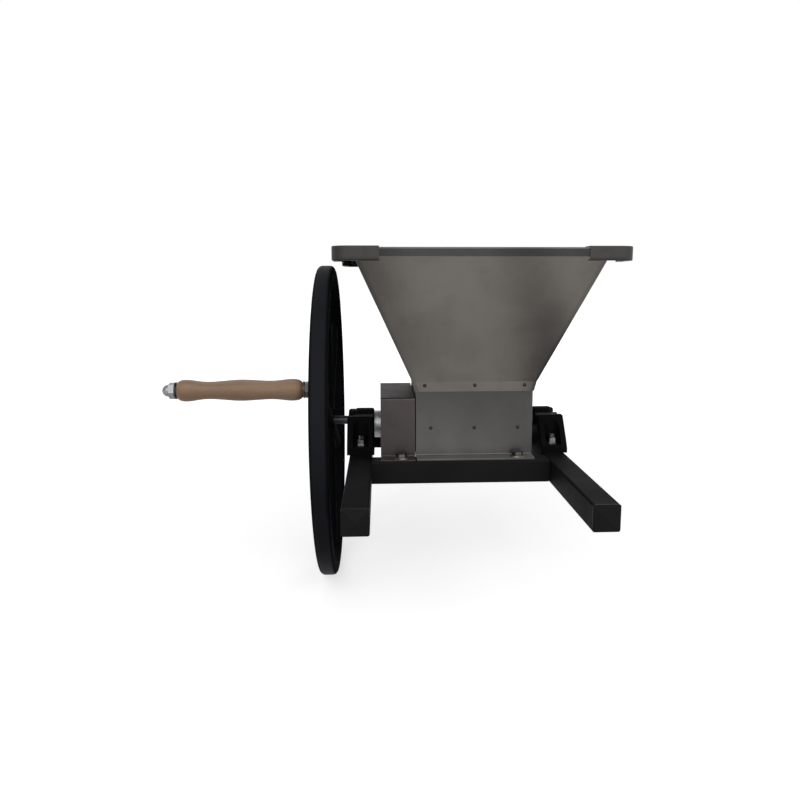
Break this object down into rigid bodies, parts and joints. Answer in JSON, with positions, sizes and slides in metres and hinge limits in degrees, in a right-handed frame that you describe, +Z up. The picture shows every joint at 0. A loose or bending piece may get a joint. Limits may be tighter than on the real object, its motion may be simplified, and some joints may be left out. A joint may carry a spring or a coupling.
{
  "type": "apple scratter",
  "caption": "Hand cranked apple mill: square steel hopper over a toothed drum chamber on a black tube frame, with a large flywheel and a wooden crank grip.",
  "frame": {"origin": "on the plane of the two legs' undersides, midway between the legs and straight under the shaft", "axes": "+X along the shaft away from the flywheel, -Y towards the user, +Z up"},
  "size_m": [0.5571, 0.626, 0.4491],
  "materials": {
    "black_frame_paint": "satin black paint on steel tube",
    "black_wheel_paint": "satin black enamel on cast iron",
    "black_plastic": "moulded glass filled plastic, fine grain",
    "cap_plastic": "moulded grey plastic",
    "stainless_hopper": "brushed stainless sheet, grain running up the slope",
    "stainless_chamber": "cold rolled stainless sheet, fine grain",
    "stainless_guard": "cold rolled stainless sheet, fine grain",
    "stainless_blade": "ground stainless strip",
    "drum_plastic": "turned food grade polyethylene",
    "stainless_disc": "turned stainless plate",
    "rivet_steel": "stainless rivets",
    "zinc_plate": "bright zinc plated steel",
    "galvanised": "galvanised steel",
    "shaft_steel": "turned bright steel",
    "bearing_steel": "ground bearing steel",
    "seal_plastic": "turned white plastic",
    "beech": "oiled beech, grain along the grip",
    "bush_brass": "plain bearing brass"
  },
  "bodies": {
    "frame": {"bearing_studs": "zinc_plate", "blind_rivet_nuts": "zinc_plate", "chamber_front_plate": "stainless_chamber", "chamber_left_plate": "stainless_chamber", "chamber_rear_plate": "stainless_chamber", "chamber_right_plate": "stainless_chamber", "comb_rivets": "rivet_steel", "discharge_chute": "stainless_chamber", "flange_bolts": "zinc_plate", "flange_washers": "zinc_plate", "front_comb": "stainless_chamber", "front_cross_tube": "black_frame_paint", "hopper_front_panel": "stainless_hopper", "hopper_left_panel": "stainless_hopper", "hopper_rear_panel": "stainless_hopper", "hopper_right_panel": "stainless_hopper", "left_bearing_block": "black_plastic", "left_leg": "black_frame_paint", "left_outer_ring": "bearing_steel", "left_shaft_seal": "seal_plastic", "leg_end_plugs": "black_plastic", "rear_comb": "stainless_chamber", "rear_cross_rail": "black_frame_paint", "right_bearing_block": "black_plastic", "right_leg": "black_frame_paint", "right_outer_ring": "bearing_steel", "right_shaft_seal": "seal_plastic", "rim_cap_front_left": "cap_plastic", "rim_cap_front_right": "cap_plastic", "rim_cap_rear_left": "cap_plastic", "rim_cap_rear_right": "cap_plastic", "shaft_ring": "galvanised", "side_guard_cover": "stainless_guard", "side_guard_end_plate": "stainless_guard", "skirt_rivets": "rivet_steel", "stud_nuts": "zinc_plate", "stud_washers": "zinc_plate"},
    "rotor": {"shaft": "shaft_steel", "shaft_keys": "shaft_steel", "drum": "drum_plastic", "drum_blade_1": "stainless_blade", "drum_blade_2": "stainless_blade", "drum_blade_3": "stainless_blade", "drum_blade_4": "stainless_blade", "drum_left_disc": "stainless_disc", "drum_right_disc": "stainless_disc", "disc_screws": "zinc_plate", "flywheel": "black_wheel_paint", "shaft_end_washer": "zinc_plate", "shaft_end_nut": "zinc_plate", "left_inner_ring": "bearing_steel", "right_inner_ring": "bearing_steel", "bearing_balls": "bearing_steel", "bearing_set_screws": "shaft_steel", "crank_spindle": "shaft_steel", "spindle_nut": "zinc_plate", "acorn_nut": "zinc_plate", "grip_washers": "zinc_plate"},
    "grip": {"grip": "beech", "grip_bushes": "bush_brass"}
  },
  "joints": [
    {"name": "crank_spin", "type": "hinge", "parent": "frame", "child": "rotor", "pos_m": [0, 0, 0.0675], "axis": [1, 0, 0], "continuous": true},
    {"name": "grip_spin", "type": "hinge", "parent": "rotor", "child": "grip", "pos_m": [-0.2672, -0.17738, 0.13559], "axis": [1, 0, 0], "continuous": true}
  ]
}
